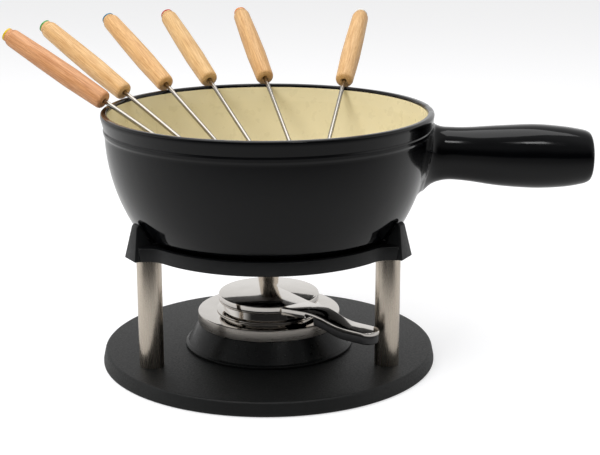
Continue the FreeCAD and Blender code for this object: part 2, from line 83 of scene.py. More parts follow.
def surface(name, **values):
    """A new material, with its shader's uniform values set on the shader itself."""
    material = bpy.data.materials.new(name)
    material.use_nodes = True
    tree = material.node_tree
    shader = tree.nodes["Principled BSDF"]
    for key, value in values.items():
        shader.inputs[key.replace("_", " ").capitalize() if key != "IOR" else key].default_value = value
    return material, tree, shader


def noise(tree, coordinates, size_mm, detail=2.0, roughness=0.5, distortion=0.0):
    """The value of a noise whose features are about size_mm across."""
    sockets = {
        "Vector": coordinates,
        "Scale": per_metre(size_mm),
        "Detail": detail,
        "Roughness": roughness,
        "Distortion": distortion,
    }
    return add(tree, "ShaderNodeTexNoise", sockets).outputs["Fac"]


def ranged(tree, value, low, high):
    """A noise's middle range, spread from low to high."""
    sockets = {"Value": value, "From Min": 0.3, "From Max": 0.7, "To Min": low, "To Max": high}
    return add(tree, "ShaderNodeMapRange", sockets).outputs["Result"]


def tones(tree, share, first, second):
    """A colour between two hex colours."""
    sockets = {0: share, 6: linear(first), 7: linear(second)}
    return add(tree, "ShaderNodeMix", sockets, data_type="RGBA").outputs[2]


def relief(tree, shader, height, depth_mm, before=None):
    """Bumps the surface by a height of 0 to 1 times a real depth."""
    sockets = {"Height": height, "Distance": depth_mm * MM, "Strength": 1.0}
    if before is not None:
        sockets["Normal"] = before
    node = add(tree, "ShaderNodeBump", sockets)
    tree.links.new(node.outputs["Normal"], shader.inputs["Normal"])
    return node.outputs["Normal"]


def maths(tree, operation, *values):
    """The result of one sum on numbers, in a material or in Geometry Nodes."""
    return add(tree, "ShaderNodeMath", dict(enumerate(values)), operation=operation).outputs[0]


def eased_range(tree, value, start, end, low, high):
    """A smooth change from low to high as value goes from start to end."""
    sockets = {"Value": value, "From Min": start, "From Max": end, "To Min": low, "To Max": high}
    node = add(tree, "ShaderNodeMapRange", sockets, interpolation_type="SMOOTHSTEP")
    return node.outputs["Result"]


def stretched(tree, coordinates, x, y, z):
    """Coordinates whose patterns are drawn out x, y and z times along each axis."""
    sockets = {"Vector": coordinates, "Scale": (1 / x, 1 / y, 1 / z)}
    return add(tree, "ShaderNodeMapping", sockets).outputs["Vector"]


def object_place(tree):
    return add(tree, "ShaderNodeTexCoord").outputs["Object"]


# --- Materials ------------------------------------------------------------------------------------


def black_enamel():
    """Vitreous enamel fired on cast iron: a deep glass-like black that carries the slow waves of the
    casting beneath it, with a very fine orange peel."""
    material, tree, shader = surface("black vitreous enamel", Roughness=0.09, IOR=1.36)
    place = object_place(tree)
    colour = tones(tree, noise(tree, place, 9.0, 3.0), "#020203", "#040507")
    tree.links.new(colour, shader.inputs["Base Color"])
    tree.links.new(ranged(tree, noise(tree, place, 14.0, 2.0), 0.07, 0.14), shader.inputs["Roughness"])
    waves = relief(tree, shader, noise(tree, place, 15.0, 1.0), 0.08)
    relief(tree, shader, noise(tree, place, 1.6, 1.0), 0.004, waves)
    return material


def cream_enamel():
    """The inside's cream enamel: a satin glass that is a shade darker where it lies thinner."""
    material, tree, shader = surface("cream vitreous enamel", Roughness=0.3, IOR=1.45)
    place = object_place(tree)
    colour = tones(tree, noise(tree, place, 22.0, 3.0), "#D9CDA6", "#E1D6B2")
    tree.links.new(colour, shader.inputs["Base Color"])
    tree.links.new(ranged(tree, noise(tree, place, 6.0, 2.0), 0.25, 0.36), shader.inputs["Roughness"])
    relief(tree, shader, noise(tree, place, 8.0, 2.0), 0.03)
    return material


def cast_black():
    """Cast iron with a satin black stoved coat: the sand's fine grain shows through it."""
    material, tree, shader = surface("satin black coated cast iron", Roughness=0.38, IOR=1.38)
    place = object_place(tree)
    colour = tones(tree, noise(tree, place, 5.0, 3.0), "#08090A", "#101112")
    tree.links.new(colour, shader.inputs["Base Color"])
    tree.links.new(ranged(tree, noise(tree, place, 2.2, 3.0), 0.3, 0.46), shader.inputs["Roughness"])
    relief(tree, shader, noise(tree, place, 1.1, 2.0), 0.03)
    return material


def base_coat():
    """Textured black powder coat: matte, with an even grit. A real coat's grit is about 0.5 mm, and it
    is drawn 1.2 mm wide so that it shows."""
    material, tree, shader = surface("black textured powder coat", Roughness=0.5, IOR=1.4)
    place = object_place(tree)
    grit = noise(tree, place, 1.2, 2.0)
    colour = tones(tree, noise(tree, place, 12.0, 2.0), "#090A0A", "#111212")
    tree.links.new(colour, shader.inputs["Base Color"])
    tree.links.new(ranged(tree, grit, 0.42, 0.58), shader.inputs["Roughness"])
    relief(tree, shader, grit, 0.09)
    return material


def satin_lacquer():
    """The burner's foot: pressed steel in satin black lacquer, smoother than the base."""
    material, tree, shader = surface("satin black lacquered steel", Roughness=0.3, IOR=1.28)
    place = object_place(tree)
    colour = tones(tree, noise(tree, place, 7.0, 2.0), "#070808", "#0C0D0D")
    tree.links.new(colour, shader.inputs["Base Color"])
    tree.links.new(ranged(tree, noise(tree, place, 3.0, 2.0), 0.25, 0.36), shader.inputs["Roughness"])
    relief(tree, shader, noise(tree, place, 1.4, 1.0), 0.003)
    return material


def rubber():
    """Black rubber: no gloss, with the faint bloom of a moulded sheet."""
    material, tree, shader = surface("black rubber sheet", Roughness=0.8, IOR=1.52)
    place = object_place(tree)
    tree.links.new(
        tones(tree, noise(tree, place, 6.0, 3.0), "#161616", "#232322"), shader.inputs["Base Color"]
    )
    relief(tree, shader, noise(tree, place, 0.8, 2.0), 0.03)
    return material


def brushed_steel(name, along, light="#D9CEC0", dark="#C0B5A7", rough=(0.23, 0.31)):
    """Stainless steel brushed one way: drawn-out hair lines that spread reflections across them. The
    lines of a real brush are 0.1 mm, and are drawn 0.5 mm wide so that they show."""
    material, tree, shader = surface(name, Metallic=1.0, Roughness=0.28)
    hairs = noise(tree, stretched(tree, object_place(tree), *along), 0.5, 3.0, 0.6)
    tree.links.new(tones(tree, hairs, dark, light), shader.inputs["Base Color"])
    tree.links.new(ranged(tree, hairs, *rough), shader.inputs["Roughness"])
    relief(tree, shader, hairs, 0.002)
    return material


def mirror_steel():
    """Stainless steel polished to a mirror, with the faint haze and hair scratches of use."""
    material, tree, shader = surface("mirror polished stainless steel", Metallic=1.0, Roughness=0.06)
    place = object_place(tree)
    haze = noise(tree, place, 11.0, 4.0, 0.6)
    scratches = noise(tree, stretched(tree, place, 14, 1, 1), 0.7, 2.0, 0.5, 0.4)
    tree.links.new(tones(tree, haze, "#CDC8C2", "#DCD8D3"), shader.inputs["Base Color"])
    tree.links.new(ranged(tree, haze, 0.035, 0.09), shader.inputs["Roughness"])
    relief(tree, shader, scratches, 0.0012)
    return material


def fork_steel():
    """Drawn stainless rod, tumbled bright: softer than a mirror."""
    material, tree, shader = surface("bright drawn stainless rod", Metallic=1.0, Roughness=0.2)
    place = object_place(tree)
    mottle = noise(tree, place, 1.5, 3.0)
    tree.links.new(tones(tree, mottle, "#A5A098", "#B8B3AB"), shader.inputs["Base Color"])
    tree.links.new(ranged(tree, mottle, 0.14, 0.26), shader.inputs["Roughness"])
    return material


def zinc_steel():
    """Zinc-plated screws and washers: a greyer, slightly clouded metal."""
    material, tree, shader = surface("zinc plated steel", Metallic=1.0, Roughness=0.35)
    cloud = noise(tree, object_place(tree), 1.8, 3.0)
    tree.links.new(tones(tree, cloud, "#8E9090", "#B9BAB8"), shader.inputs["Base Color"])
    tree.links.new(ranged(tree, cloud, 0.28, 0.45), shader.inputs["Roughness"])
    return material


def mineral_fibre():
    """The wick: a pressed pad of white mineral fibre."""
    material, tree, shader = surface("white mineral fibre", Roughness=0.95)
    place = stretched(tree, object_place(tree), 5, 1, 1)
    fibres = noise(tree, place, 0.8, 4.0, 0.6, 1.0)
    tree.links.new(tones(tree, fibres, "#CFC9BB", "#F0ECE2"), shader.inputs["Base Color"])
    relief(tree, shader, fibres, 0.25)
    return material


def bakelite():
    """The snuffer's grip: phenolic moulding, a dense black with a fine satin tooth."""
    material, tree, shader = surface("black phenolic moulding", Roughness=0.42, IOR=1.6)
    place = object_place(tree)
    tree.links.new(
        tones(tree, noise(tree, place, 4.0, 3.0), "#111112", "#1B1B1C"), shader.inputs["Base Color"]
    )
    tree.links.new(ranged(tree, noise(tree, place, 2.0, 2.0), 0.36, 0.5), shader.inputs["Roughness"])
    relief(tree, shader, noise(tree, place, 0.7, 1.0), 0.01)
    return material


def beech(name, pale, warm, dark):
    """Turned beech, lightly oiled: straight fine grain along the handle, with short darker flecks.
    It reads the handle's own grain directions, so the grain follows each handle."""
    material, tree, shader = surface(name, Roughness=0.48, IOR=1.46)
    grain = add(tree, "ShaderNodeAttribute", attribute_name="grain").outputs["Vector"]
    bands = noise(tree, stretched(tree, grain, 14, 1, 1), 2.4, 2.0, 0.5, 0.6)
    lines = noise(tree, stretched(tree, grain, 34, 1, 1), 0.5, 3.0, 0.65, 0.25)
    flecks = noise(tree, stretched(tree, grain, 7, 1, 1), 0.5, 1.0)
    ground = tones(tree, ranged(tree, bands, 0, 1), warm, pale)
    lined = add(
        tree,
        "ShaderNodeMix",
        {0: ranged(tree, lines, 0.85, -0.1), 6: ground, 7: linear(dark)},
        data_type="RGBA",
        clamp_factor=True,
    ).outputs[2]
    marks = add(
        tree,
        "ShaderNodeMapRange",
        {"Value": flecks, "From Min": 0.64, "From Max": 0.74, "To Min": 0.0, "To Max": 0.5},
    ).outputs["Result"]
    flecked = add(tree, "ShaderNodeMix", {0: marks, 6: lined, 7: linear(dark)}, data_type="RGBA")
    tree.links.new(flecked.outputs[2], shader.inputs["Base Color"])
    tree.links.new(ranged(tree, lines, 0.55, 0.4), shader.inputs["Roughness"])
    relief(tree, shader, lines, 0.03)
    return material


def button_plastic(name, colour, deep):
    """A glossy moulded button in the fork's own colour."""
    material, tree, shader = surface(name, Roughness=0.22, IOR=1.5)
    place = object_place(tree)
    tree.links.new(
        tones(tree, noise(tree, place, 2.5, 2.0), deep, colour), shader.inputs["Base Color"]
    )
    tree.links.new(ranged(tree, noise(tree, place, 1.2, 2.0), 0.16, 0.3), shader.inputs["Roughness"])
    return material


# --- Meshes ---------------------------------------------------------------------------------------


def new_piece(name, mesh, materials, body, slot, *nodes):
    """Puts a finished mesh in the scene, on its body and in place of its CAD nodes."""
    mesh.name = name
    finishes = [face.material_index for face in mesh.polygons]
    mesh.materials.clear()
    for material in materials:
        mesh.materials.append(material)
    mesh.polygons.foreach_set("material_index", [min(index, len(materials) - 1) for index in finishes])
    piece = bpy.data.objects.new(name, mesh)
    bpy.context.scene.collection.objects.link(piece)
    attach(piece, body)
    if nodes:
        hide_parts(*nodes)
    return piece


def finished_mesh(mesh, *modifiers):
    """The mesh with modifiers applied. Each modifier is (kind, settings)."""
    carrier = bpy.data.objects.new("carrier", mesh)
    bpy.context.scene.collection.objects.link(carrier)
    for kind, settings in modifiers:
        modifier = carrier.modifiers.new(kind, kind)
        for name, value in settings.items():
            setattr(modifier, name, value)
    graph = bpy.context.evaluated_depsgraph_get()
    result = bpy.data.meshes.new_from_object(carrier.evaluated_get(graph))
    bpy.data.objects.remove(carrier)
    return result


def shade(mesh, sharp_degrees=32):
    mesh.shade_smooth()
    mesh.set_sharp_from_angle(angle=math.radians(sharp_degrees))


def merged(node):
    """A copy of a CAD node's mesh with its loose triangles joined and its flat faces made whole."""
    mesh = frame["nodes"][node].data.copy()
    if mesh.has_custom_normals:
        mesh.normals_split_custom_set([(0, 0, 0)] * len(mesh.loops))
        mesh.attributes.remove(mesh.attributes["custom_normal"])
    work = bmesh.new()
    work.from_mesh(mesh)
    bmesh.ops.remove_doubles(work, verts=work.verts, dist=1e-6)
    for edge in work.edges:
        edge.smooth = True
    bmesh.ops.dissolve_limit(work, angle_limit=math.radians(0.1), verts=work.verts, edges=work.edges)
    work.to_mesh(mesh)
    work.free()
    return mesh


def softened(node, width_mm, segments=3, angle=32):
    """A merged copy whose sharp edges are rounded, so that they catch the light."""
    mesh = merged(node)
    settings = {
        "width": width_mm * MM,
        "segments": segments,
        "limit_method": "ANGLE",
        "angle_limit": math.radians(angle),
        "use_clamp_overlap": False,
        "miter_outer": "MITER_ARC",
    }
    result = finished_mesh(mesh, ("BEVEL", settings))
    shade(result, angle)
    return result


def arc(start, end, radius, steps):
    """Points of a circle's arc from start to end. It bulges to the right of the way it goes."""
    start, end = Vector(start), Vector(end)
    chord = end - start
    across = Vector((-chord.y, chord.x)) / chord.length
    centre = (start + end) / 2 + across * math.sqrt(radius**2 - (chord.length / 2) ** 2)
    first = math.atan2(start.y - centre.y, start.x - centre.x)
    turn = 2 * math.asin(chord.length / 2 / radius)
    angles = [first + turn * step / steps for step in range(steps + 1)]
    return [(centre.x + radius * math.cos(a), centre.y + radius * math.sin(a)) for a in angles]


def eased(corners, steps=6):
    """A profile whose corners (radius, height, rounding) are rounded, and (radius, height) are kept."""
    points = []
    for index, corner in enumerate(corners):
        here = Vector(corner[:2])
        if len(corner) == 2:
            points.append(tuple(here))
            continue
        before = (Vector(corners[index - 1][:2]) - here).normalized()
        after = (Vector(corners[(index + 1) % len(corners)][:2]) - here).normalized()
        half = before.angle(after) / 2
        reach = corner[2] / math.tan(half)
        centre = here + (before + after).normalized() * corner[2] / math.sin(half)
        first = here + before * reach - centre
        last = here + after * reach - centre
        start = math.atan2(first.y, first.x)
        swing = (math.atan2(last.y, last.x) - start + math.pi) % (2 * math.pi) - math.pi
        for step in range(steps + 1):
            turn = start + swing * step / steps
            across, up = math.cos(turn), math.sin(turn)
            points.append((centre.x + corner[2] * across, centre.y + corner[2] * up))
    return points


def lathe(profile, segments, lining=None):
    """A closed solid turned about the Z axis. The profile is in millimetres, as (radius, height). The
    faces from the profile's point number lining onwards get the second material."""
    work = bmesh.new()
    rings = []
    for radius, height in profile:
        if radius < 1e-6:
            rings.append([work.verts.new((0, 0, height * MM))] * segments)
            continue
        ring = []
        for step in range(segments):
            turn = 2 * math.pi * step / segments
            across, along = math.cos(turn), math.sin(turn)
            place = (radius * MM * across, radius * MM * along, height * MM)
            ring.append(work.verts.new(place))
        rings.append(ring)
    for index, ring in enumerate(rings):
        following = rings[(index + 1) % len(rings)]
        if ring[0] is ring[1] and following[0] is following[1]:
            continue
        for step in range(segments):
            beyond = (step + 1) % segments
            corners = [ring[step], ring[beyond], following[beyond], following[step]]
            corners = list(dict.fromkeys(corners))
            face = work.faces.new(corners)
            face.material_index = 1 if lining is not None and index >= lining else 0
    bmesh.ops.recalc_face_normals(work, faces=work.faces)
    mesh = bpy.data.meshes.new("turned")
    work.to_mesh(mesh)
    work.free()
    return mesh


# --- The pot --------------------------------------------------------------------------------------

pot_low, pot_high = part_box("pot_casting")
POT_RADIUS = -pot_low.x / MM
RIM = pot_high.z / MM
FOOT = pot_low.z / MM
UNDERSIDE = FOOT + 4.5
FLOOR = FOOT + 10.5
WALL = 4.4
BELLY = 124.0
FOOT_RADIUS = 73.0
FOOT_BORE = 66.0
BLACK_INSIDE = 2.2
HANDLE_END = pot_high.x / MM
ROOT_FILLET = 11.0
BELLY_START = (FOOT_RADIUS + 16, UNDERSIDE + 2.6)
BELLY_END = (POT_RADIUS - 2.4, RIM - 15)
INSIDE_CORNER = (FOOT_BORE + 18, FLOOR + 6)
INSIDE_TOP = (POT_RADIUS - WALL - 1.6, RIM - 12)
LINING_EDGE = (POT_RADIUS - WALL - 0.2, RIM - BLACK_INSIDE)


def pot_profile():
    """The casting's wall from the middle of its underside, up the outside, over the rim and down to
    the floor, and the number of the point where the cream lining begins."""
    outside = [
        (0, UNDERSIDE),
        (FOOT_BORE - 1, UNDERSIDE, 2.0),
        (FOOT_BORE, FOOT, 0.7),
        (FOOT_RADIUS, FOOT, 1.2),
        (FOOT_RADIUS + 1.5, FOOT + 1.5, 1.5),
        (FOOT_RADIUS + 6.5, FOOT + 2.4, 3.0),
    ]
    belly = arc(BELLY_START, BELLY_END, BELLY, 48)
    upper = [
        (POT_RADIUS - 2.3, RIM - 14.6, 1.6),
        (POT_RADIUS - 1.6, RIM - 13.2, 1.2),
        (POT_RADIUS - 1.4, RIM - 11.2, 1.2),
        (POT_RADIUS - 1.8, RIM - 10.0, 1.6),
        (POT_RADIUS, RIM - 3, 6.0),
        (POT_RADIUS, RIM, 1.5),
        (POT_RADIUS - WALL, RIM, 1.4),
        LINING_EDGE,
        (*INSIDE_TOP, 8.0),
    ]
    inside = arc(INSIDE_CORNER, INSIDE_TOP, BELLY - 6, 44)
    corner = arc((FOOT_BORE - 2, FLOOR), INSIDE_CORNER, WALL * 5, 12)
    bottom = eased([*outside, belly[2]], 5)[:-1]
    rim = eased([belly[-3], BELLY_END, *upper, inside[-3]], 5)[1:-1]
    wall = bottom + belly[2:-1] + rim + inside[-3:0:-1] + corner[::-1] + [(0, FLOOR)]
    edge = Vector(LINING_EDGE)
    lining = min(range(len(wall)), key=lambda at: (Vector(wall[at]) - edge).length)
    return wall, lining


def wall_middle(height):
    """The radius of the middle of the pot's wall at a height, for the belly's stretch."""
    belly = arc(BELLY_START, BELLY_END, BELLY, 48)
    below = max([point for point in belly if point[1] <= height], key=lambda point: point[1])
    return below[0] - WALL / 2


def handle_rings(sections, along):
    """The handle's rings, evenly spaced, through ovals (distance, top, bottom, width) in millimetres."""
    rings = []
    stations = len(sections) - 1
    for step in range(along + 1):
        place = min(step / along * stations, stations - 1e-6)
        index = int(place)
        share = place - index
        near = [sections[max(0, min(stations, index + shift))] for shift in (-1, 0, 1, 2)]
        oval = []
        for before, start, end, after in zip(*near):
            rise = (end - before) / 2
            fall = (after - start) / 2
            oval.append(
                start
                + share * rise
                + share**2 * (3 * (end - start) - 2 * rise - fall)
                + share**3 * (rise + fall - 2 * (end - start))
            )
        rings.append(oval)
    return rings


def handle_mesh():
    """The handle's own closed shape, from inside the pot's wall to its rounded end."""
    end = HANDLE_END
    ovals = [
        (end - 130.4, 165.5, 109.0, 43.0),
        (end - 120.4, 164.2, 114.4, 39.0),
        (end - 113.8, 162.6, 118.8, 35.0),
        (end - 107.4, 161.4, 122.4, 32.2),
        (end - 97.4, 160.5, 124.8, 30.5),
        (end - 83.4, 160.2, 123.8, 31.5),
        (end - 62.4, 161.2, 120.6, 36.0),
        (end - 38.4, 161.9, 118.8, 38.5),
        (end - 19.4, 160.4, 119.4, 38.0),
        (end - 7.0, 158.4, 121.2, 35.4),
        (end - 2.2, 157.0, 122.8, 33.4),
        (end - 0.5, 155.4, 124.6, 30.6),
        (end, 152.6, 127.4, 26.0),
    ]
    around = 96
    along = 132
    squareness = 0.94
    work = bmesh.new()
    rings = []
    for index, (reach, top, bottom, width) in enumerate(handle_rings(ovals, along)):
        middle = (top + bottom) / 2
        ring = []
        for step in range(around):
            turn = 2 * math.pi * step / around
            across, up = math.cos(turn), math.sin(turn)
            side = math.copysign(abs(across) ** squareness, across) * width / 2
            lift = math.copysign(abs(up) ** squareness, up) * (top - bottom) / 2
            # Rings that would pass through the wall stop at its middle, each a little past the last.
            inmost = math.sqrt(wall_middle(middle + lift) ** 2 - side**2) + index * 0.02
            ring.append(work.verts.new((max(reach, inmost) * MM, side * MM, (middle + lift) * MM)))
        rings.append(ring)
    for ring, following in zip(rings, rings[1:]):
        for step in range(around):
            beyond = (step + 1) % around
            work.faces.new([ring[step], ring[beyond], following[beyond], following[step]])
    for ring in (rings[0], rings[-1]):
        hub = work.verts.new(sum((v.co for v in ring), Vector()) / around)
        for step in range(around):
            work.faces.new([hub, ring[step], ring[(step + 1) % around]])
    bmesh.ops.recalc_face_normals(work, faces=work.faces)
    mesh = bpy.data.meshes.new("handle")
    work.to_mesh(mesh)
    work.free()
    return mesh


def tree_of(mesh):
    points = [v.co.copy() for v in mesh.vertices]
    return BVHTree.FromPolygons(points, [list(face.vertices) for face in mesh.polygons])


def pot_mesh():
    """The turned body and the handle joined, with a smooth fillet where they meet."""
    wall, lining = pot_profile()
    body = lathe(wall, 288, lining)
    handle = handle_mesh()
    shapes = {"body": tree_of(body), "handle": tree_of(handle)}
    tool = bpy.data.objects.new("handle_tool", handle)
    bpy.context.scene.collection.objects.link(tool)
    settings = {"operation": "UNION", "object": tool, "solver": "EXACT"}
    mesh = finished_mesh(body, ("BOOLEAN", settings))
    bpy.data.objects.remove(tool)

    work = bmesh.new()
    work.from_mesh(mesh)
    fillet = ROOT_FILLET * MM
    handle_side = 0.09
    outer_wall = (POT_RADIUS - WALL / 2) * MM * 0.93

    def distances(place):
        return [shapes[name].find_nearest(place) for name in ("body", "handle")]

    def near_join(vert):
        if vert.co.x < handle_side or vert.co.xy.length < outer_wall:
            return False
        if any(face.material_index == 1 for face in vert.link_faces):
            return False
        return max(found[3] for found in distances(vert.co)) < fillet

    for finest_mm in (2.4, 1.3):
        zone = {vert for vert in work.verts if near_join(vert)}
        long_edges = [
            edge
            for edge in work.edges
            if edge.verts[0] in zone and edge.verts[1] in zone and edge.calc_length() > finest_mm * MM
        ]
        bmesh.ops.subdivide_edges(work, edges=long_edges, cuts=1, use_grid_fill=True)
        bmesh.ops.triangulate(work, faces=[face for face in work.faces if len(face.verts) > 4])
    zone = [vert for vert in work.verts if near_join(vert)]
    moves = {}
    for vert in zone:
        body_hit, handle_hit = distances(vert.co)
        gap = max(body_hit[3], handle_hit[3])
        lift = fillet / 4 * (1 - gap / fillet) ** 2
        outward = body_hit[1] + handle_hit[1]
        moves[vert] = outward.normalized() * lift
    for vert, move in moves.items():
        vert.co += move
    for _ in range(14):
        bmesh.ops.smooth_vert(
            work, verts=zone, factor=0.5, use_axis_x=True, use_axis_y=True, use_axis_z=True
        )
    work.to_mesh(mesh)
    work.free()
    shade(mesh, 60)
    return mesh


# --- The forks ------------------------------------------------------------------------------------


def grain_directions(mesh, joint_axis, foot, shift):
    """Stores each point's place along and across a handle, which its wood grain reads."""
    along = Vector(joint_axis).normalized()
    side = along.cross(UP).normalized()
    across = along.cross(side)
    layer = mesh.attributes.new("grain", "FLOAT_VECTOR", "POINT")
    for index, vert in enumerate(mesh.vertices):
        place = vert.co - foot
        layer.data[index].vector = (
            place.dot(along) + shift,
            place.dot(side) + shift,
            place.dot(across),
        )


def seat_button(cap, wood, along):
    """Sinks a button in its handle's end, so that only a shallow dome stands out of the wood."""
    sunk_share = 0.6
    tip = max(vert.co.dot(along) for vert in wood.vertices)
    for vert in cap.vertices:
        vert.co -= along * max(0.0, vert.co.dot(along) - tip) * sunk_share


def make_forks(steel):
    """Six forks, each with its own piece of wood and its own colour."""
    woods = [
        ("#E6B081", "#D69A66", "#A4653A"),
        ("#F0CC97", "#E3B97F", "#B07A41"),
        ("#EEC78F", "#E0B277", "#AE763E"),
        ("#EAC892", "#DDB57B", "#B07E46"),
        ("#E3BC86", "#D5A970", "#A8733E"),
        ("#E8C28E", "#DAB077", "#AE7B44"),
    ]
    colours = [
        ("yellow", "#E8C61C", "#D2AE12"),
        ("green", "#4FA047", "#3B8438"),
        ("blue", "#1D7391", "#155A75"),
        ("red", "#BC2A21", "#981D17"),
        ("orange", "#DE7A2C", "#C26420"),
        ("white", "#ECE9E2", "#DAD6CD"),
    ]
    axes = {joint["child"]: joint["axis"] for joint in frame["joints"]}
    grain_step = 0.037
    for number, (wood, (word, bright, deep)) in enumerate(zip(woods, colours), start=1):
        body = f"fork_{number}"
        prongs = softened(f"{body}_prongs", 0.35, 2, 40)
        new_piece(f"{body}_steel", prongs, [steel], body, "fork_steel", f"{body}_prongs")
        mesh = softened(f"{body}_wood", 1.3, 4, 32)
        low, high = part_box(f"{body}_wood")
        grain_directions(mesh, axes[body], (low + high) / 2, number * grain_step)
        timber = beech(f"oiled beech {number}", *wood)
        new_piece(f"{body}_handle", mesh, [timber], body, "handle_wood", f"{body}_wood")
        cap = softened(f"{body}_cap", 1.3, 4, 25)
        seat_button(cap, mesh, Vector(axes[body]).normalized())
        plastic = button_plastic(f"{word} moulded plastic", bright, deep)
        new_piece(f"{body}_button", cap, [plastic], body, f"cap_{word}", f"{body}_cap")


# --- The burner's gauze ---------------------------------------------------------------------------


def woven_gauze(steel):
    """Plain-woven steel wire over the wick. The mesh's threads are 1.8 mm apart."""
    tree = bpy.data.node_groups.new("woven wire", "GeometryNodeTree")
    sizes = {"Radius": 0.0304, "Pitch": 0.0018, "Wire": 0.00022, "Height": 0.0363}
    tree.interface.new_socket("Geometry", in_out="OUTPUT", socket_type="NodeSocketGeometry")
    for name in sizes:
        tree.interface.new_socket(name, in_out="INPUT", socket_type="NodeSocketFloat")
    given = add(tree, "NodeGroupInput").outputs

    span = maths(tree, "MULTIPLY", given["Radius"], 2.0)
    cells_across = maths(tree, "FLOOR", maths(tree, "DIVIDE", span, given["Pitch"]))
    count = maths(tree, "ADD", cells_across, 1.0)
    joined = add(tree, "GeometryNodeJoinGeometry")
    for turn, phase in ((0.0, 0.0), (math.pi / 2, math.pi)):
        line = add(
            tree,
            "GeometryNodeMeshGrid",
            {"Size X": span, "Size Y": span, "Vertices X": count, "Vertices Y": count},
        )
        place = add(tree, "ShaderNodeSeparateXYZ", {0: add(tree, "GeometryNodeInputPosition").outputs[0]})
        edge_ends = add(tree, "GeometryNodeInputMeshEdgeVertices")
        step = add(
            tree,
            "ShaderNodeVectorMath",
            {0: edge_ends.outputs["Position 1"], 1: edge_ends.outputs["Position 2"]},
            operation="SUBTRACT",
        )
        along_y = add(tree, "ShaderNodeSeparateXYZ", {0: step.outputs[0]}).outputs["Y"]
        sideways = maths(tree, "ABSOLUTE", along_y)
        only_one_way = add(
            tree,
            "GeometryNodeDeleteGeometry",
            {"Geometry": line.outputs["Mesh"], "Selection": maths(tree, "GREATER_THAN", sideways, 1e-5)},
            domain="EDGE",
            mode="EDGE_FACE",
        )
        reach = add(
            tree,
            "ShaderNodeVectorMath",
            {0: add(tree, "GeometryNodeInputPosition").outputs[0]},
            operation="LENGTH",
        ).outputs["Value"]
        round_disc = add(
            tree,
            "GeometryNodeDeleteGeometry",
            {
                "Geometry": only_one_way.outputs["Geometry"],
                "Selection": maths(tree, "GREATER_THAN", reach, given["Radius"]),
            },
            domain="POINT",
        )
        both = maths(tree, "ADD", place.outputs["X"], place.outputs["Y"])
        cells = maths(tree, "DIVIDE", both, given["Pitch"])
        angle = maths(tree, "ADD", maths(tree, "MULTIPLY", cells, math.pi), phase)
        rise = maths(tree, "MULTIPLY", maths(tree, "COSINE", angle), given["Wire"])
        lift = add(tree, "ShaderNodeCombineXYZ", {"Z": rise})
        woven = add(
            tree,
            "GeometryNodeSetPosition",
            {"Geometry": round_disc.outputs["Geometry"], "Offset": lift.outputs[0]},
        )
        wires = add(tree, "GeometryNodeMeshToCurve", {"Mesh": woven.outputs["Geometry"]})
        section = add(
            tree, "GeometryNodeCurvePrimitiveCircle", {"Resolution": 6, "Radius": given["Wire"]}
        )
        round_wire = add(
            tree,
            "GeometryNodeCurveToMesh",
            {
                "Curve": wires.outputs["Curve"],
                "Profile Curve": section.outputs["Curve"],
                "Fill Caps": True,
            },
        )
        height = add(tree, "ShaderNodeCombineXYZ", {"Z": given["Height"]})
        placed = add(
            tree,
            "GeometryNodeTransform",
            {
                "Geometry": round_wire.outputs["Mesh"],
                "Translation": height.outputs[0],
                "Rotation": (0, 0, turn),
            },
        )
        tree.links.new(placed.outputs["Geometry"], joined.inputs["Geometry"])
    real = add(tree, "GeometryNodeRealizeInstances", {"Geometry": joined.outputs["Geometry"]})
    painted = add(tree, "GeometryNodeSetMaterial", {"Geometry": real.outputs[0], "Material": steel})
    add(tree, "NodeGroupOutput", {"Geometry": painted.outputs["Geometry"]})

    carrier = bpy.data.objects.new("gauze_carrier", bpy.data.meshes.new("gauze_carrier"))
    bpy.context.scene.collection.objects.link(carrier)
    modifier = carrier.modifiers.new("woven wire", "NODES")
    modifier.node_group = tree
    for item in tree.interface.items_tree:
        if item.in_out == "INPUT":
            modifier[item.identifier] = sizes[item.name]
    graph = bpy.context.evaluated_depsgraph_get()
    mesh = bpy.data.meshes.new_from_object(carrier.evaluated_get(graph))
    bpy.data.objects.remove(carrier)
    shade(mesh, 60)
    return new_piece("gauze_wires", mesh, [steel], "cup", "gauze_steel", "wire_gauze")


# --- Stand and burner -----------------------------------------------------------------------------


def make_stand(fastener):
    post_steel = brushed_steel("steel tube brushed lengthwise", (1, 1, 60))
    coat = base_coat()
    cast = cast_black()
    low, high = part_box("base_plate")
    edge, underside, top = high.x / MM, low.z / MM, high.z / MM
    outline = [(0, underside + 2), (106, underside + 2), (106, underside), (edge, underside, 0.5)]
    outline += [(edge, underside + 1.6, 1.0), (edge - 1.6, top, 2.0), (0, top)]
    plate = lathe(eased(outline), 240)
    shade(plate)
    new_piece("base_plate_coated", plate, [coat], "stand", "matte_black", "base_plate")
    ring = softened("support_ring", 0.7, 4, 30)
    new_piece("ring_casting", ring, [cast], "stand", "cast_black", "support_ring")
    for side in ("back", "left", "right"):
        tube = softened(f"post_{side}", 0.3, 2, 30)
        new_piece(f"tube_{side}", tube, [post_steel], "stand", "brushed_steel", f"post_{side}")
    frame["nodes"]["base_pad"].data.materials[0] = rubber()
    for node in ("tie_bolts", "bolt_washers"):
        frame["nodes"][node].data.materials[0] = fastener


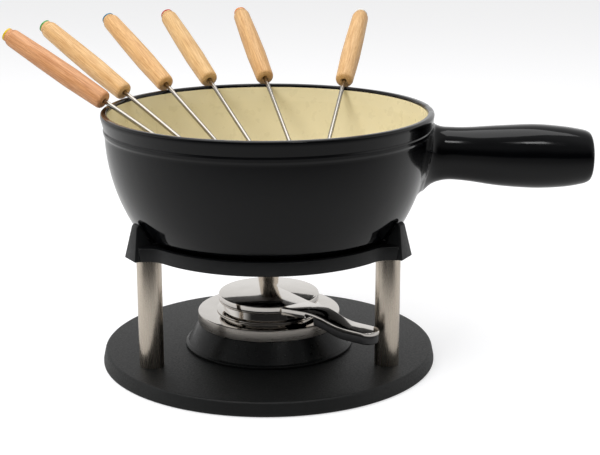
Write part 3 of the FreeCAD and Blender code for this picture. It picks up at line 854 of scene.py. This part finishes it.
def make_burner(fastener, mirror):
    band = brushed_steel("drum band brushed round", (40, 40, 1), "#B9B4AE", "#A19B94", (0.24, 0.36))
    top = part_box("base_plate")[1].z / MM
    skirt = [(56.4, top + 0.3), (57.6, top + 0.3, 0.3), (57.6, top + 1.9, 0.5), (55.8, top + 2.7, 2.0)]
    skirt += [(48.2, 26.1, 1.0), (38, 26.1), (38, 25.1), (47.2, 25.1), (54.6, top + 1.9)]
    foot = lathe(eased(skirt), 160)
    shade(foot)
    new_piece("burner_foot_shell", foot, [satin_lacquer()], "burner", "satin_black", "burner_foot")
    side = [(47.8, 26.1), (48.8, 26.1, 0.3), (48.8, 33.9, 0.8)]
    side += [(31.7, 33.9, 0.3), (31.7, 32.9), (47.8, 32.9)]
    top_edge = 11
    drum = lathe(eased(side), 160, top_edge)
    shade(drum)
    new_piece("burner_drum_shell", drum, [band, mirror], "burner", "polished_steel", "burner_drum")
    cup = softened("fuel_cup", 0.25, 2, 25)
    new_piece("fuel_cup_shell", cup, [mirror], "cup", "polished_steel", "fuel_cup")
    frame["nodes"]["wick_pad"].data.materials[0] = mineral_fibre()
    lid = softened("snuffer_lid", 0.9, 4, 30)
    new_piece("snuffer_lid_pressing", lid, [mirror], "lid", "polished_steel", "snuffer_lid")
    grip = softened("lid_grip", 1.0, 4, 30)
    new_piece("lid_grip_moulding", grip, [bakelite()], "lid", "grip_plastic", "lid_grip")
    frame["nodes"]["grip_screws"].data.materials[0] = fastener


# --- Camera, floor and light ----------------------------------------------------------------------


def make_floor():
    """A wide pale floor. The camera sees it nearly white, and polished pieces see it in painted shade: a
    grey that darkens towards the camera, standing in for a dim studio front."""
    reach = 4
    corners = [(-reach, -reach, 0), (reach, -reach, 0), (reach, reach, 0), (-reach, reach, 0)]
    mesh = bpy.data.meshes.new("floor")
    mesh.from_pydata(corners, [], [(0, 1, 2, 3)])
    material = bpy.data.materials.new("pale floor")
    material.use_nodes = True
    tree = material.node_tree
    tree.nodes.clear()
    paper = add(tree, "ShaderNodeBsdfDiffuse", {"Color": (0.55, 0.55, 0.56, 1)}).outputs[0]
    glow = add(tree, "ShaderNodeEmission", {"Color": (1, 1, 1, 1), "Strength": 0.56}).outputs[0]
    seen = add(tree, "ShaderNodeAddShader", {0: paper, 1: glow}).outputs[0]
    # Painted shade: for rays other than the camera's, the floor is grey and darker towards the camera, so
    # reflections show a dim front.
    depth = add(tree, "ShaderNodeSeparateXYZ", {0: object_place(tree)}).outputs["Y"]
    painted_front_shade = eased_range(tree, depth, -0.7, 0.2, 0.26, 0.72)
    colour = add(tree, "ShaderNodeCombineColor", {0: painted_front_shade, 1: painted_front_shade, 2: painted_front_shade}).outputs[0]
    lit = add(tree, "ShaderNodeBsdfDiffuse", {"Color": colour}).outputs[0]
    camera_ray = add(tree, "ShaderNodeLightPath").outputs["Is Camera Ray"]
    mixed = add(tree, "ShaderNodeMixShader", {0: camera_ray, 1: lit, 2: seen})
    add(tree, "ShaderNodeOutputMaterial", {"Surface": mixed.outputs[0]})
    mesh.materials.append(material)
    floor = bpy.data.objects.new("floor", mesh)
    bpy.context.scene.collection.objects.link(floor)


def make_studio():
    """The light around the set: bright behind and at the sides, dim in front at eye level and half
    bright above."""
    world = bpy.data.worlds.new("studio")
    world.use_nodes = True
    tree = world.node_tree
    place = add(tree, "ShaderNodeTexCoord").outputs["Generated"]
    way = add(tree, "ShaderNodeSeparateXYZ", {0: place}).outputs
    front = eased_range(tree, way["Y"], -0.15, -0.75, 0.0, 1.0)
    behind = eased_range(tree, way["Z"], 0.1, 0.9, 0.95, 0.48)
    before = eased_range(tree, way["Z"], 0.12, 0.5, 0.02, 0.2)
    rear = maths(tree, "MULTIPLY", maths(tree, "SUBTRACT", 1.0, front), behind)
    light = maths(tree, "ADD", maths(tree, "MULTIPLY", front, before), rear)
    camera_ray = add(tree, "ShaderNodeLightPath").outputs["Is Camera Ray"]
    strength = maths(tree, "MAXIMUM", maths(tree, "MULTIPLY", camera_ray, 1.1), light)
    background = tree.nodes["Background"]
    background.inputs["Color"].default_value = (1, 1, 1, 1)
    tree.links.new(strength, background.inputs["Strength"])
    bpy.context.scene.world = world


def make_stage():
    """The floor, the studio around it, a soft box above, a small one in front, a fill at the left that
    polished pieces don't see, and the camera."""
    make_floor()
    make_studio()

    def soft_box(name, place, aim, size, power, glossy=True):
        data = bpy.data.lights.new(name, "AREA")
        data.shape = "RECTANGLE"
        data.size, data.size_y = size
        data.energy = power
        lamp = bpy.data.objects.new(name, data)
        lamp.location = place
        lamp.rotation_mode = "QUATERNION"
        lamp.rotation_quaternion = (Vector(aim) - Vector(place)).to_track_quat("-Z", "Y")
        lamp.visible_glossy = glossy
        bpy.context.scene.collection.objects.link(lamp)

    middle = (0.0, 0.0, 0.1)
    soft_box("top_box", (-0.1, 0.1, 1.4), middle, (1.6, 1.2), 13)
    soft_box("front_box", (0.5, -1.2, 1.5), middle, (0.3, 0.2), 1.5)
    soft_box("left_fill", (-0.8, -0.9, 1.0), (0.0, 0.0, 0.15), (0.8, 0.6), 11.5, glossy=False)
    bpy.context.scene.view_settings.view_transform = "Standard"

    data = bpy.data.cameras.new("camera")
    data.sensor_width = 36.0
    data.lens = 81.54
    camera = bpy.data.objects.new("camera", data)
    camera.location = (-0.0024, -0.8954, 0.3310)
    pitch = 0.26138
    yaw = 0.02672
    camera.rotation_euler = (math.pi / 2 - pitch, 0.0, -yaw)
    bpy.context.scene.collection.objects.link(camera)
    bpy.context.scene.camera = camera


# --- The whole set --------------------------------------------------------------------------------

make_stage()
fastener = zinc_steel()
mirror = mirror_steel()
make_stand(fastener)
make_burner(fastener, mirror)
woven_gauze(fork_steel())
new_piece("pot_enamelled", pot_mesh(), [black_enamel(), cream_enamel()], "pot", "enamel", "pot_casting")
make_forks(fork_steel())
